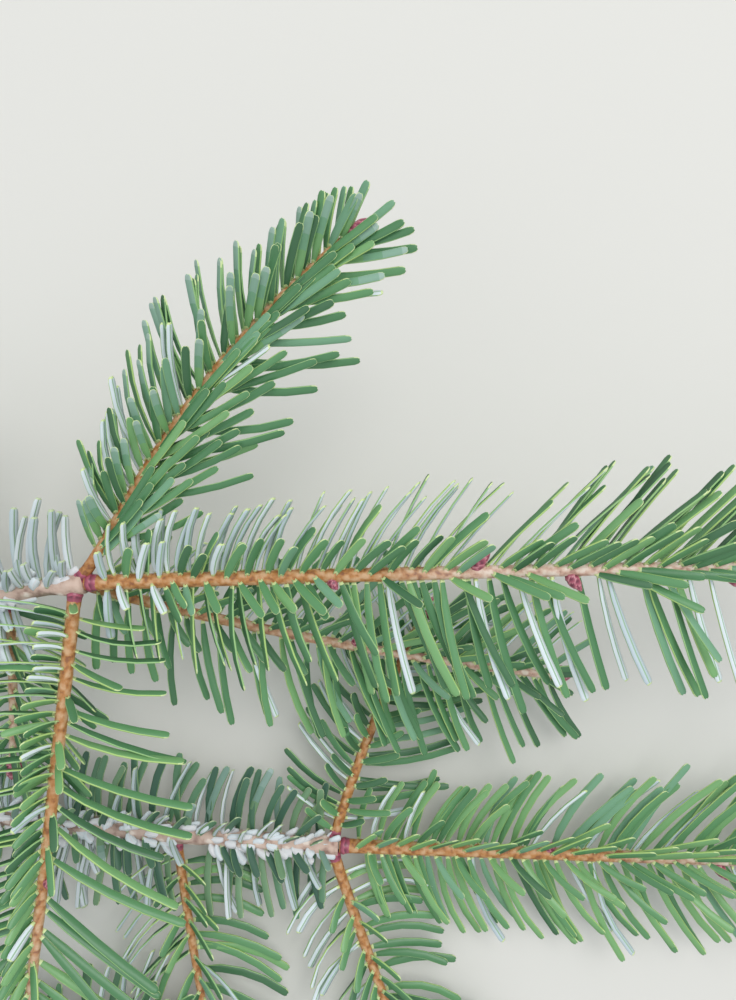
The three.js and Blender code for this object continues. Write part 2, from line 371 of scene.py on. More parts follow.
RISING_LEFT = Rank(
    Tier((13, 16, 20, 9), (36, 40, 50, 38), (36, 34, 30, 28), (36, 44, 62, 50), (35, 28, 6, 0), (5, 7, 4, 3)),
    Tier((10, 12, 14, 12), (40, 44, 46, 32), (60, 60, 62, 62), bow=2),
    parting=(0.3, 0.5),
    pale_roll=130,
    bloom_and_sheen=0.42,
    jitter=8.0,
)
RISING_RIGHT = Rank(
    Tier(
        (15, 21, 25, 13), (36, 42, 50, 32), (-8, -10, -10, -2), (10, 22, 30, 10),
        pale=(12, 12, 12, 20), bow=(5, 5, 4, 3),
    ),
    Tier((12, 15, 16, 12), (12, 12, 11, 10), (42, 42, 48, 56), bow=(2, 2, 1, 1)),
    parting=(0.2, 0.9),
    kept=0.86,
    jitter=6.0,
    pale_roll=140,
    bloom_and_sheen=0.05,
)
RISING = Habit(RISING_LEFT, RISING_RIGHT, (16, 34, 28, 8, 14), NO_BLUSH, pitch=0.52, width=1.66, foot=9.5)

HANGING_LEFT = Rank(
    Tier((10, 21, 30, 27), (86, 90, 64, 46), (-2, -4, -4, 0), (92, 94, 76, 14), bow=(-6, -6, -3, 5)),
    Tier((5, 6, 9, 11), (80, 74, 34, 20), (60, 60, 56, 50), (120, 90, 10, 0)),
    kept=0.36,
    jitter=5.0,
)
HANGING_RIGHT = Rank(
    Tier((15, 19, 25, 24), (98, 88, 68, 52), (16, 16, 14, 10), (136, 128, 108, 80), bow=(3, 5, 5, 4)),
    Tier((6.6, 7.4, 8.5, 9), (104, 98, 50, 26), (44, 46, 58, 60), pale=(45, 45, 15, 0)),
    parting=(0.5, 0.62),
    kept=0.95,
    jitter=7.0,
)
HANGING = Habit(HANGING_LEFT, HANGING_RIGHT, (8, 26, 36, 26, 4), (0.55, 1.1), pitch=0.52, width=1.85)

FAR_LEFT = Rank(
    Tier((15, 19, 22, 20), (82, 76, 64, 50), (-4, -4, -2, 0), (70, 50, 30, 10), 10, (8, 10, 10, 6)),
    Tier((7, 9, 12, 11), (72, 64, 46, 30), (36, 38, 46, 50)),
    kept=0.7,
    jitter=7.0,
)
FAR_RIGHT = Rank(
    Tier(
        (14, 18, 21, 20), (64, 56, 50, 44), (6, 6, 4, 2), (120, 130, 110, 60),
        pale=(30, 40, 30, 20), bow=(9, 10, 8, 5),
    ),
    Tier((7, 9, 11, 11), (66, 56, 44, 30), (40, 42, 48, 50)),
    kept=0.7,
    jitter=7.0,
)
FAR = Habit(FAR_LEFT, FAR_RIGHT, (22, 34, 26, 10, 8), NO_BLUSH)

LOW_LEFT = Rank(
    Tier(
        (14, 20, 26, 24), (78, 66, 53, 48), (16, 14, 12, 12), (50, 40, 36, 30),
        pale=(10, 10, 6, 5), bow=(6, 6, 5, 3),
    ),
    Tier((8, 10, 14, 14), (62, 54, 42, 26), (40, 46, 56, 60), bow=(3, 3, 2, 1)),
    jitter=8.0,
)
LOW_RIGHT = Rank(
    Tier((13, 20, 26, 25), (72, 66, 60, 54), (0, -2, -2, 2), (40, 34, 28, 20), (0, 0, 10, 10), (3, 6, 6, 4)),
    Tier((8, 11, 15, 14), (62, 52, 34, 22), (34, 42, 54, 58), (10, 0, 0, 0), bow=(4, 5, 5, 3)),
    kept=0.82,
    jitter=6.5,
)
LOW = Habit(LOW_LEFT, LOW_RIGHT, (3, 10, 30, 46, 11), blush=(0.42, 0.62), pitch=0.64, width=1.8)

PLAIN_RANK = Rank(
    Tier((16, 21, 25, 21), (78, 68, 60, 50), (6, 4, 4, 8), (20, 10, 0, 0), 6),
    Tier((8, 11, 13, 12), (64, 54, 42, 28), (34, 40, 50, 56)),
    kept=0.85,
    jitter=6.5,
)
PLAIN = Habit(PLAIN_RANK, PLAIN_RANK, blush=(0.6, 1.2))

SHADED_LEFT = Rank(
    Tier((13, 17, 22, 18), (76, 66, 56, 46), (8, 8, 6, 6), (40, 40, 30, 10), (30, 40, 40, 20), (6, 6, 5, 3)),
    Tier((8, 9, 11, 10), (64, 56, 46, 32), (34, 38, 42, 56)),
    jitter=8.0,
    pale_roll=140,
)
SHADED_RIGHT = Rank(
    Tier((14, 20, 25, 20), (78, 70, 62, 50), (0, -2, -2, 0), (30, 15, 5, 5), 10),
    Tier((8, 9, 12, 10), (64, 56, 46, 32), (30, 34, 38, 52)),
    kept=0.8,
    jitter=8.0,
)
SHADED = Habit(SHADED_LEFT, SHADED_RIGHT, (22, 36, 26, 8, 8), blush=(0.1, 0.9), pitch=0.8, width=1.8)
# DIM gives a twig hidden under the other foliage mostly deep and dark greens: painted shade.
DIM = replace(SHADED, tints=(50, 36, 8, 0, 6), blush=NO_BLUSH)

OLD_RANK = Rank(
    Tier((15, 17, 18, 17), (90, 88, 86, 80), (12, 12, 12, 10), (60, 50, 40, 30), (30, 40, 66, 10), 5),
    Tier((6, 8, 9, 8), (78, 76, 72, 62), (38, 38, 40, 44), pale=(20, 20, 30, 30)),
    jitter=14.0,
    pale_roll=150,
    bloom_and_sheen=0.06,
)
PALE_RANK = replace(
    OLD_RANK,
    full=replace(OLD_RANK.full, pale=(20, 30, 80, 100)),
    top=replace(OLD_RANK.top, pale=(20, 30, 70, 90)),
)
WEATHERED = Habit(OLD_RANK, OLD_RANK, (24, 30, 22, 14, 10), pitch=1.35, width=1.9)
STUB_RANK = Rank(
    Tier((4.4, 5.2, 5.2, 4.6), (30, 32, 32, 28), 26, (168, 172, 174, 170), bow=5),
    Tier((2.6, 3.2, 3.2, 3), (26, 26, 26, 24), 26, (168, 172, 174, 170), bow=5),
    parting=(0.05, 0.45),
    kept=0.85,
    jitter=30.0,
    droop=0.09,
)
STUBS = Habit(STUB_RANK, STUB_RANK, pitch=0.8, width=2.1)

HABITS = {
    "main_stem": WEATHERED,
    "upper_stem": replace(WEATHERED, left=PALE_RANK, right=PALE_RANK, pitch=1.15),
    "lower_stem": WEATHERED,
    "main_leader": LOW,
    "main_upper_twig": DIM,
    "main_lower_twig": FAR,
    "main_inner_twig": FAR,
    "upper_leader": FRONT,
    "upper_twig": RISING,
    "lower_twig": HANGING,
    "under_twig": SHADED,
    "inner_twig": SHADED,
    "outer_twig": PLAIN,
    "lower_leader": LOW,
    "lower_upper_twig": SHADED,
    "lower_lower_twig": PLAIN,
    "lower_outer_twig": PLAIN,
}


@dataclass
class Needles:
    """A set of needles as whole arrays: where each is rooted, where it points, and how it is made."""

    root: np.ndarray
    way: np.ndarray
    face: np.ndarray
    forward: np.ndarray
    up: np.ndarray
    length: np.ndarray
    width: np.ndarray
    roll: np.ndarray
    bow: np.ndarray
    droop: np.ndarray
    tint: np.ndarray
    place: np.ndarray
    turn: np.ndarray

    def take(self, keep: np.ndarray) -> "Needles":
        """The needles that a mask or a list of numbers keeps."""
        return Needles(**{key: value[keep] for key, value in vars(self).items()})

    def __len__(self) -> int:
        """How many needles there are."""
        return len(self.length)

    def clear_of(self, lines: dict[str, CentreLine], own: str) -> np.ndarray:
        """Which needles keep clear of every other shoot: the distances from points along each needle
        to points along the centre lines are more than the shoot's radius and a little spare.

        Args:
            lines: All the centre lines.
            own: The name of the shoot that the needles are on.

        Returns:
            A mask of the needles to keep.
        """
        shares, step, spare = np.array([0.3, 0.5, 0.7, 0.85, 1.0]), 1.5, 0.7
        points = self.root[:, None] + self.way[:, None] * (self.length[:, None] * shares)[..., None]
        keep = np.ones(len(self), bool)
        for line in (line for name, line in lines.items() if name != own):
            s = np.arange(0.0, line.length, step)
            gaps = np.linalg.norm(points[:, :, None] - line.at(s)[None, None], axis=-1) - line.radius(s)
            keep &= gaps.min(axis=(1, 2)) > spare
        return keep


@dataclass(frozen=True)
class NeedleRule:
    """The part's needle rule, with a habit whose values change along the shoot.

    Roots wind up the stem by the golden angle, and each needle is parted to the nearer flank. The
    lower its root lies on the stem, the more it stands as its flank's full tier does; those of the
    back belong to the short top tier. Each flank is thinned out to the share that it keeps: of each
    block of neighbours one needle stays, drawn at random.

    Over tip_reach, the last share of the shoot, needles shorten to the share short_tip. No root lies
    further than root_turn degrees from the back, and all start at the share root_depth of the stem's
    radius. face_lean tips their tops forward. The jitters scatter their roll, in degrees, and their
    length, width and bow, as shares.
    """

    short_tip: float = 0.72
    tip_reach: float = 0.1
    root_turn: float = 116.0
    root_depth: float = 0.88
    face_lean: float = 0.5
    roll_jitter: float = 10.0
    length_jitter: float = 0.12
    width_jitter: float = 0.08
    bow_jitter: float = 0.5
    first_draw: int = 5

    def turns(self, count: int, seed: int) -> np.ndarray:
        """How far round the stem from its back each of the first roots lies, in degrees."""
        return (np.arange(count) * GOLDEN_ANGLE + seed * SEED_ANGLE + 180.0) % 360.0 - 180.0

    def seats(self, count: int, seed: int) -> np.ndarray:
        """The same angles, with the roots of the underside parted to the flanks."""
        return np.clip(self.turns(count, seed), -self.root_turn, self.root_turn)

    def needles(
        self,
        line: CentreLine,
        habit: Habit,
        seed: int,
        places: np.ndarray,
        floor: float,
        flank: Flank | None = None,
    ) -> Needles:
        """Every needle of a shoot, or of one flank of it.

        Args:
            line: The shoot's centre line.
            habit: How it wears its needles.
            seed: Its number, which turns the spiral on and sets the scatter.
            places: The needles' distances along it, in mm.
            floor: The height of the floor in the sheet.
            flank: The only flank that has needles, or none for both.

        Returns:
            The needles, in the sheet.
        """
        turn = self.turns(len(places), seed)
        low = np.abs(turn) / 180.0
        side = np.full(len(places), float(flank.value)) if flank else np.where(turn < 0, -1.0, 1.0)
        share = places / line.length
        source = np.random.default_rng(seed + self.first_draw)

        def along(run: Run) -> np.ndarray:
            """A run's value at every needle."""
            return np.interp(share, PLACES, np.broadcast_to(run, len(PLACES)))

        def of_tier(name: str) -> np.ndarray:
            """One tier value for every needle, read along the shoot and between its flank's tiers.

            Args:
                name: The tier's field.

            Returns:
                The value for each needle.
            """
            tops, fulls, partings = (
                [along(getattr(rank.top, name)) for rank in (habit.left, habit.right)],
                [along(getattr(rank.full, name)) for rank in (habit.left, habit.right)],
                [np.interp(low, rank.parting, (0.0, 1.0)) for rank in (habit.left, habit.right)],
            )
            left, right = (top + (full - top) * part for top, full, part in zip(tops, fulls, partings))
            return np.where(side > 0, left, right)

        def of_rank(name: str) -> np.ndarray:
            """One value of the needle's own rank."""
            return np.where(side > 0, getattr(habit.left, name), getattr(habit.right, name))

        def spread() -> np.ndarray:
            """An even scatter from -1 to 1, another one at each call."""
            return source.uniform(-1.0, 1.0, len(places))

        around = np.radians(90.0 - of_tier("rise") + of_rank("jitter") * spread())
        lean = np.radians(of_tier("lean") + of_rank("jitter") * spread())
        tips = np.minimum(1.0, self.short_tip + (1.0 - self.short_tip) * (1.0 - share) / self.tip_reach)
        length = of_tier("length") * tips * (1.0 + self.length_jitter * spread())
        pale = (spread() + 1.0) / 2.0 < of_tier("pale") / 100
        roll = np.where(pale, of_rank("pale_roll"), of_tier("roll")) + self.roll_jitter * spread()

        way, left, back = line.axes(places)
        outward = left * (side * np.sin(around))[:, None] + back * np.cos(around)[:, None]
        girdle = np.radians(side * np.clip(np.abs(turn), 0.0, self.root_turn))
        ring = left * np.sin(girdle)[:, None] + back * np.cos(girdle)[:, None]
        root = line.at(places) + ring * (line.radius(places) * self.root_depth)[:, None]
        to = way * np.cos(lean)[:, None] + outward * np.sin(lean)[:, None]
        lowest = (floor + FLOOR_GAP + habit.width / 2.0 - root[:, 2]) / length
        to[:, 2] = np.maximum(to[:, 2], lowest)
        weights = np.cumsum(habit.tints) / np.sum(habit.tints)
        plain = np.searchsorted(weights, source.random(len(places))).clip(0, len(habit.tints) - 1)
        # Frosted needles get the last green, which steps paler towards the tip: a white wax film with painted
        # sky sheen.
        frosted = source.random(len(places)) < of_rank("bloom_and_sheen")
        made = Needles(
            root=root,
            way=unit(to),
            face=unit(back + self.face_lean * way),
            forward=way,
            up=back,
            length=length,
            width=habit.width * (1.0 + self.width_jitter * spread()),
            roll=np.radians(roll) * -side,
            bow=of_tier("bow") / 100 * (1.0 + self.bow_jitter * spread()),
            droop=of_rank("droop") * (1.0 + self.bow_jitter * spread()),
            tint=np.where(frosted, GREENS - 1, plain),
            place=places,
            turn=np.degrees(girdle),
        )
        count = np.where(side > 0, np.cumsum(side > 0), np.cumsum(side < 0)) - 1
        block = side * (1 + np.floor(count * of_rank("kept")))
        order = np.lexsort((source.random(len(places)), block))
        return made.take(np.sort(order[np.unique(block[order], return_index=True)[1]]))


# Meshes.


@dataclass
class Patch:
    """Faces over their own vertices: corner lists of any size, a finish number for every face, and
    named values at the vertices."""

    verts: np.ndarray
    faces: list[np.ndarray]
    finishes: list[np.ndarray]
    marks: dict[str, np.ndarray] = field(default_factory=dict)


def tube_faces(rows: int, columns: int) -> tuple[np.ndarray, np.ndarray]:
    """The faces of a closed tube over a grid of points, which face outwards where a ring's points run
    with the right hand round the way from ring to ring.

    Args:
        rows: How many rings it has.
        columns: How many points each ring has.

    Returns:
        The four corners of each face between rings, and the corners of the face over each end.
    """
    i, k = np.meshgrid(np.arange(rows - 1), np.arange(columns), indexing="ij")
    after = (k + 1) % columns
    corners = [i * columns + k, i * columns + after, (i + 1) * columns + after, (i + 1) * columns + k]
    ends = np.stack([np.arange(columns)[::-1], (rows - 1) * columns + np.arange(columns)])
    return np.stack(corners, -1).reshape(-1, 4), ends


def tube(rings: np.ndarray, marks: dict[str, np.ndarray] | None = None) -> Patch:
    """A closed tube of one finish over a grid of points.

    Args:
        rings: Points by ring and corner, in the sheet.
        marks: Named values, one for each point.

    Returns:
        The tube as a patch.
    """
    faces = list(tube_faces(*rings.shape[:2]))
    values = {key: value.reshape(-1) for key, value in (marks or {}).items()}
    return Patch(rings.reshape(-1, 3), faces, [np.zeros(len(f), int) for f in faces], values)


def put(name: str, data: bpy.types.ID) -> bpy.types.Object:
    """Puts a new object in the scene.

    Args:
        name: Its name.
        data: The mesh, light or camera that it shows.

    Returns:
        The object.
    """
    thing = bpy.data.objects.new(name, data)
    bpy.context.scene.collection.objects.link(thing)
    return thing


@dataclass
class Piece:
    """One finished mesh of the object: its patches, finishes, the nodes that it stands for and the
    record's slot that it takes its finish from."""

    name: str
    slot: str
    nodes: tuple[str, ...]
    finishes: list[bpy.types.Material]
    patches: list[Patch] = field(default_factory=list)

    def build(self, shift: np.ndarray) -> None:
        """Joins the patches to one mesh, moved from the sheet to the part's frame, and hands it over.

        Args:
            shift: What is added to a sheet point to reach the part's frame, in mm.
        """
        starts = np.cumsum([0] + [len(p.verts) for p in self.patches])
        verts = (np.concatenate([p.verts for p in self.patches]) + shift) * MM
        groups = [f + n for p, n in zip(self.patches, starts) for f in p.faces]
        finishes = np.concatenate([m for p in self.patches for m in p.finishes])
        corners = np.concatenate([f.reshape(-1) for f in groups])
        sizes = np.concatenate([np.full(len(f), f.shape[1]) for f in groups])
        mesh = bpy.data.meshes.new(self.name)
        mesh.vertices.add(len(verts))
        mesh.vertices.foreach_set("co", verts.astype(np.float32).reshape(-1))
        mesh.loops.add(len(corners))
        mesh.loops.foreach_set("vertex_index", corners.astype(np.int32))
        mesh.polygons.add(len(sizes))
        mesh.polygons.foreach_set("loop_start", np.concatenate([[0], np.cumsum(sizes)[:-1]]).astype(np.int32))
        mesh.polygons.foreach_set("material_index", finishes.astype(np.int32))
        mesh.polygons.foreach_set("use_smooth", np.ones(len(sizes), bool))
        for key in self.patches[0].marks:
            values = np.concatenate([p.marks[key] for p in self.patches]).astype(np.float32)
            mesh.attributes.new(key, "FLOAT", "POINT").data.foreach_set("value", values)
        for finish in self.finishes:
            mesh.materials.append(finish)
        mesh.update(calc_edges=True)
        mesh.validate()
        thing = put(self.name, mesh)
        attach(thing, BODY)
        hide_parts(*self.nodes)
        log.info("%s: %d triangles for %d nodes", self.name, int(np.sum(sizes - 2)), len(self.nodes))


GREENS = 7
FIRST_FROST_AND_SHEEN = 3


class Strip(Enum):
    """The strips of a needle's skin: finish numbers that follow the seven greens of its top."""

    # The margins' pale yellow-green is partly painted light shining through the thin edges, and the sunny
    # margin is a brighter painted glow.
    MARGIN = 7
    SUNNY_MARGIN = 8
    TIP = 9
    BAND = 10
    DULL_BAND = 11
    KEEL = 12
    BLEACHED = 13


@dataclass(frozen=True)
class NeedleBlade:
    """The shape of one needle: a flat blade with a grooved top, two pale bands beside a keel below,
    a narrow round foot and a blunt, barely notched tip. The section is in half widths. Its first
    rings lie at millimetres from the foot and its last ones from the tip, all nearer together on a
    needle under short mm, and the others at shares of what is between. At each ring, girth and depth
    are shares of the needle's width and of thick, its thickness in widths, and notch_pull is the share
    of the notch, in mm, by which the middle lies back. twist is its turn from foot to tip, in radians,
    and over_floor the gap in mm that every point keeps from the floor."""

    across: tuple[float, ...] = (0.98, 0.84, 0.0, -0.84, -0.98, -0.15, 0.15)
    over: tuple[float, ...] = (-0.12, 0.38, -0.08, 0.38, -0.12, -0.46, -0.46)
    foot_rings: tuple[float, ...] = (0.0, 0.8)
    middle_rings: tuple[float, ...] = (0.2, 0.46, 0.73)
    tip_rings: tuple[float, ...] = (1.1, 0.38, 0.0)
    girth: tuple[float, ...] = (0.44, 0.62, 0.96, 1.0, 1.0, 0.98, 0.8, 0.4)
    depth: tuple[float, ...] = (1.3, 1.1, 1.0, 1.0, 1.0, 0.94, 0.78, 0.4)
    notch_pull: tuple[float, ...] = (0.0, 0.0, 0.0, 0.0, 0.0, 0.0, 0.3, 1.0)
    thick: float = 0.36
    notch: float = 0.14
    twist: float = 0.3
    short: float = 8.5
    over_floor: float = 0.02

    def patch(self, needles: Needles, floor: float) -> Patch:
        """The meshes of all the needles at once.

        A point is the root, plus the length times the share gone along the needle's way, less the
        bow's parabola forward, plus the droop's upward; then across by the section's width and over
        by its depth, both turned about the needle by its roll and a slight twist.

        Args:
            needles: The needles to make.
            floor: The height of the floor in the sheet, below which no point goes.

        Returns:
            All the needles as one patch.
        """
        length = needles.length[:, None]
        scale = np.minimum(1.0, length / self.short) / length
        foot = np.array(self.foot_rings) * scale
        tip = 1 - np.array(self.tip_rings) * scale
        between = foot[:, -1:] + (tip[:, :1] - foot[:, -1:]) * np.array(self.middle_rings)
        u = np.concatenate([foot, between, tip], axis=1)[..., None]
        rows, columns = u.shape[1], len(self.across)
        way = needles.way[:, None]
        sideways = square_to(needles.forward, needles.way)[:, None]
        upward = square_to(needles.up, needles.way)[:, None]
        arch = needles.droop[:, None, None] * upward - needles.bow[:, None, None] * sideways
        middle = needles.root[:, None] + length[..., None] * (u * way + 4 * u * (1 - u) * arch)
        along = unit(way + 4 * (1 - 2 * u) * arch)
        wide = unit(np.cross(needles.face[:, None], along))
        high = np.cross(along, wide)
        angle = needles.roll[:, None, None] + self.twist * (u - 0.5)
        right = wide * np.cos(angle) + high * np.sin(angle)
        top = high * np.cos(angle) - wide * np.sin(angle)
        width = needles.width[:, None]
        half = (width / 2 * np.array(self.girth))[..., None, None]
        deep = (self.thick * width * np.array(self.depth))[..., None, None]
        across = np.array(self.across)[:, None]
        points = middle[:, :, None] + right[:, :, None] * half * across
        points = points + top[:, :, None] * deep * np.array(self.over)[:, None]
        pull = np.array(self.notch_pull)[:, None, None] * self.notch
        points = points - along[:, :, None] * pull * (1 - np.abs(across)) ** 2
        points[..., 2] = np.maximum(points[..., 2], floor + self.over_floor)

        first = (np.arange(len(needles)) * rows * columns)[:, None, None]
        skin, caps = ((one[None] + first).reshape(-1, one.shape[1]) for one in tube_faces(rows, columns))
        finishes = [self.skin_finishes(needles, rows - 1).reshape(-1), np.full(len(caps), Strip.TIP.value)]
        return Patch(points.reshape(-1, 3), [skin, caps], finishes)

    def skin_finishes(self, needles: Needles, gaps: int) -> np.ndarray:
        """The finish of every face between rings: greens above, bands and keel below, a pale foot and a
        pale tip. A frosted needle is bright green near its foot, and paler by steps towards its tip,
        for a white wax film with painted sky sheen on it.

        Args:
            needles: The needles.
            gaps: How many gaps between rings each one has.

        Returns:
            Finish numbers by needle, gap and strip.
        """
        margin, band, keel = Strip.MARGIN.value, Strip.BAND.value, Strip.KEEL.value
        strips = np.array([margin, -1, -1, margin, band, keel, band])
        finishes = np.broadcast_to(strips, (len(needles), gaps, len(strips)))
        tint = needles.tint[:, None, None]
        finishes = np.where((finishes == band) & (tint % 2 == 1), Strip.DULL_BAND.value, finishes)
        # Fresh and bright needles get the sunny margin: a brighter edge of painted light.
        sunny = (finishes == margin) & ((tint == 2) | (tint == 3))
        finishes = np.where(sunny, Strip.SUNNY_MARGIN.value, finishes)
        # Frosted tops step paler towards the tip: wax with painted sky sheen.
        frost = (np.arange(gaps) + 1).clip(FIRST_FROST_AND_SHEEN, GREENS - 1)[:, None]
        finishes = np.where(finishes < 0, np.where(tint == GREENS - 1, frost, tint), finishes)
        finishes[:, -2:, strips == margin] = Strip.TIP.value
        finishes[:, -1, strips >= 0] = Strip.TIP.value
        finishes[:, 0] = Strip.TIP.value
        return finishes


# Finishes.


def add_node(
    tree: bpy.types.NodeTree,
    kind: str,
    inputs: dict[str | int, object] | None = None,
    **settings: object,
) -> bpy.types.Node:
    """Adds one shader node with its settings, and gives its inputs their values or links.

    Args:
        tree: The material's node tree.
        kind: The node's type name.
        inputs: For each input's name or number, a value or an output socket to link.
        **settings: The node's own properties.

    Returns:
        The new node.
    """
    node = tree.nodes.new(kind)
    for key, value in settings.items():
        setattr(node, key, value)
    for key, value in (inputs or {}).items():
        if isinstance(value, bpy.types.NodeSocket):
            tree.links.new(value, node.inputs[key])
        else:
            node.inputs[key].default_value = value
    return node


def new_material(
    name: str, **inputs: object
) -> tuple[bpy.types.Material, bpy.types.NodeTree, bpy.types.Node]:
    """A new material with plain values on its Principled shader.

    Args:
        name: The material's name.
        **inputs: The shader's inputs by name, with an underscore for each space.

    Returns:
        The material, its node tree and its shader.
    """
    material = bpy.data.materials.new(name)
    material.use_nodes = True
    shader = material.node_tree.nodes["Principled BSDF"]
    for key, value in inputs.items():
        shader.inputs[key.replace("_", " ")].default_value = value
    return material, material.node_tree, shader


@dataclass(frozen=True)
class Cuticle:
    """Waxy skin of a living needle: smooth and faintly glossy where green, matt where it is covered
    with a white wax film, whose pale colours also hold painted sky sheen. Fine lengthwise
    unevenness, drawn at half a millimetre so that it shows."""

    name: str
    colour: str
    roughness: float = 0.36
    coat: float = 0.2
    grain: float = 0.5
    relief: float = 0.25
    depth: float = 0.1
    refraction: float = 1.45
    coat_roughness: float = 0.3

    def material(self) -> bpy.types.Material:
        """Makes the skin: one plain colour, with noise in its relief.

        Returns:
            The material.
        """
        material, tree, shader = new_material(
            self.name,
            Base_Color=linear(self.colour),
            Roughness=self.roughness,
            IOR=self.refraction,
            Coat_Weight=self.coat,
            Coat_Roughness=self.coat_roughness,
        )
        place = add_node(tree, "ShaderNodeTexCoord").outputs["Object"]
        inputs = {"Vector": place, "Scale": 1.0 / (self.grain * MM), "Detail": 1.0}
        noise = add_node(tree, "ShaderNodeTexNoise", inputs).outputs["Fac"]
        inputs = {"Height": noise, "Strength": self.relief, "Distance": self.depth * MM}
        bump = add_node(tree, "ShaderNodeBump", inputs)
        tree.links.new(bump.outputs["Normal"], shader.inputs["Normal"])
        return material


GREEN_NEEDLES = (
    Cuticle("fir_needle_top_deep", "#43704b"),
    Cuticle("fir_needle_top_dark", "#508356"),
    Cuticle("fir_needle_top_fresh", "#609562"),
    Cuticle("fir_needle_top_bright", "#79ab6e"),
    # The misted, hazed and frosted tops are a white wax film with painted sky sheen in their colour.
    Cuticle("fir_needle_top_mist_and_sheen", "#76a582", 0.5, 0.05),
    Cuticle("fir_needle_top_haze_and_sheen", "#8cb09a", 0.6, 0.0),
    Cuticle("fir_needle_top_frost_and_sheen", "#a4beb0", 0.65, 0.0),
    # The margin colours are partly painted light shining through the thin edges; the sunny one is brighter
    # painted light.
    Cuticle("fir_needle_margin", "#9cc683", 0.38),
    Cuticle("fir_needle_sunny_margin", "#b3d37f", 0.38),
    Cuticle("fir_needle_pale_tip", "#d6e7a6", 0.4),
    Cuticle("fir_needle_wax_band", "#dce6ea", 0.7, 0.0),
    Cuticle("fir_needle_thin_wax_band", "#c2d0d6", 0.7, 0.0),
    Cuticle("fir_needle_keel", "#96b894", 0.45),
)
OLD_NEEDLES = (
    Cuticle("old_needle_top_deep", "#3d634f", 0.5),
    Cuticle("old_needle_top_dark", "#4a7359", 0.5),
    Cuticle("old_needle_top_dull", "#5b8664", 0.5),
    Cuticle("old_needle_top_worn", "#70946e", 0.55),
    # The misted, hazed and frosted old tops are a white wax film with painted sky sheen in their colour.
    Cuticle("old_needle_top_mist_and_sheen", "#7b9b8c", 0.6, 0.0),
    Cuticle("old_needle_top_haze_and_sheen", "#8ca79c", 0.65, 0.0),
    Cuticle("old_needle_top_frost_and_sheen", "#a3b8b2", 0.65, 0.0),
    # Old margins too: partly painted light through the thin edges, and the sunny one brighter painted light.
    Cuticle("old_needle_margin", "#88aa78", 0.5),
    Cuticle("old_needle_sunny_margin", "#9ab380", 0.5),
    Cuticle("old_needle_pale_tip", "#c3d3a9", 0.5),
    Cuticle("old_needle_wax_band", "#d8e0e4", 0.75, 0.0),
    Cuticle("old_needle_thin_wax_band", "#bcc9cd", 0.75, 0.0),
    Cuticle("old_needle_keel", "#86a184", 0.55),
    Cuticle("bleached_stub_needle", "#dadadc", 0.75, 0.0),
)
CUT_FINISHES = (
    Cuticle("sawn_bark_edge", "#5a4336", 0.85, 0.0),
    Cuticle("sawn_green_bast", "#8b9a5a", 0.7, 0.0),
    Cuticle("sawn_spring_wood", "#e3cfa4", 0.75, 0.0),
    Cuticle("sawn_summer_wood", "#c9a86e", 0.75, 0.0),
    Cuticle("sawn_pith", "#8a6238", 0.85, 0.0),
)


@dataclass(frozen=True)
class Tones:
    """The three colours of a skin with relief: its furrows, its plain skin and its crests."""

    furrow: str
    skin: str
    crest: str

    def lay(self, ramp: bpy.types.Node, stops: tuple[float, float, float]) -> bpy.types.NodeSocket:
        """Lays the colours on a ramp.

        Args:
            ramp: A new ramp node, with one stop at either end.
            stops: The heights at which the three colours lie.

        Returns:
            The ramp's colour.
        """
        ramp.color_ramp.elements.new(0.5)
        colours = (self.furrow, self.skin, self.crest)
        for element, stop, colour in zip(ramp.color_ramp.elements, stops, colours):
            element.position = stop
            element.color = linear(colour)
        return ramp.outputs["Color"]


@dataclass(frozen=True)
class BarkSkin:
    """Bark whose colour follows the mesh's own relief, and turns from plain to blushed along the
    shoot. relief and mottling are the weights of the two in its colour. mottle and grain are the size
    in mm and the detail of the noise in its colour and in its bump, which is depth mm deep."""

    name: str
    plain: Tones
    blushed: Tones
    stops: tuple[float, float, float]
    relief: float
    mottling: float
    mottle: tuple[float, float]
    grain: tuple[float, float]
    bump: float
    depth: float
    roughness: float
    coat: float
    coat_roughness: float

    def material(self) -> bpy.types.Material:
        """Makes the bark: two ramps over the sum of the relief and the mottling, each times its
        weight, mixed by the blush.

        Returns:
            The material.
        """
        material, tree, shader = new_material(
            self.name, Roughness=self.roughness, Coat_Weight=self.coat, Coat_Roughness=self.coat_roughness
        )
        place = add_node(tree, "ShaderNodeTexCoord").outputs["Object"]
        cushion, blush = (
            add_node(tree, "ShaderNodeAttribute", attribute_name=name).outputs["Fac"]
            for name in ("cushion", "blush")
        )
        mottle, grain = (
            add_node(
                tree, "ShaderNodeTexNoise", {"Vector": place, "Scale": 1.0 / (size * MM), "Detail": detail}
            ).outputs["Fac"]
            for size, detail in (self.mottle, self.grain)
        )
        # A low cushion mark gives the ramps' dark furrow colour: on the twigs, painted shade between the
        # cushions.
        inputs = {0: cushion, 1: self.relief}
        raised = add_node(tree, "ShaderNodeMath", inputs, operation="MULTIPLY").outputs[0]
        inputs = {0: mottle, 1: self.mottling, 2: raised}
        mottled = add_node(tree, "ShaderNodeMath", inputs, operation="MULTIPLY_ADD").outputs[0]
        ramps = [
            tones.lay(add_node(tree, "ShaderNodeValToRGB", {"Fac": mottled}), self.stops)
            for tones in (self.plain, self.blushed)
        ]
        mix = add_node(tree, "ShaderNodeMix", {"Factor": blush, 6: ramps[0], 7: ramps[1]}, data_type="RGBA")
        tree.links.new(mix.outputs[2], shader.inputs["Base Color"])
        inputs = {"Height": grain, "Strength": self.bump, "Distance": self.depth * MM}
        bump = add_node(tree, "ShaderNodeBump", inputs)
        tree.links.new(bump.outputs["Normal"], shader.inputs["Normal"])
        return material


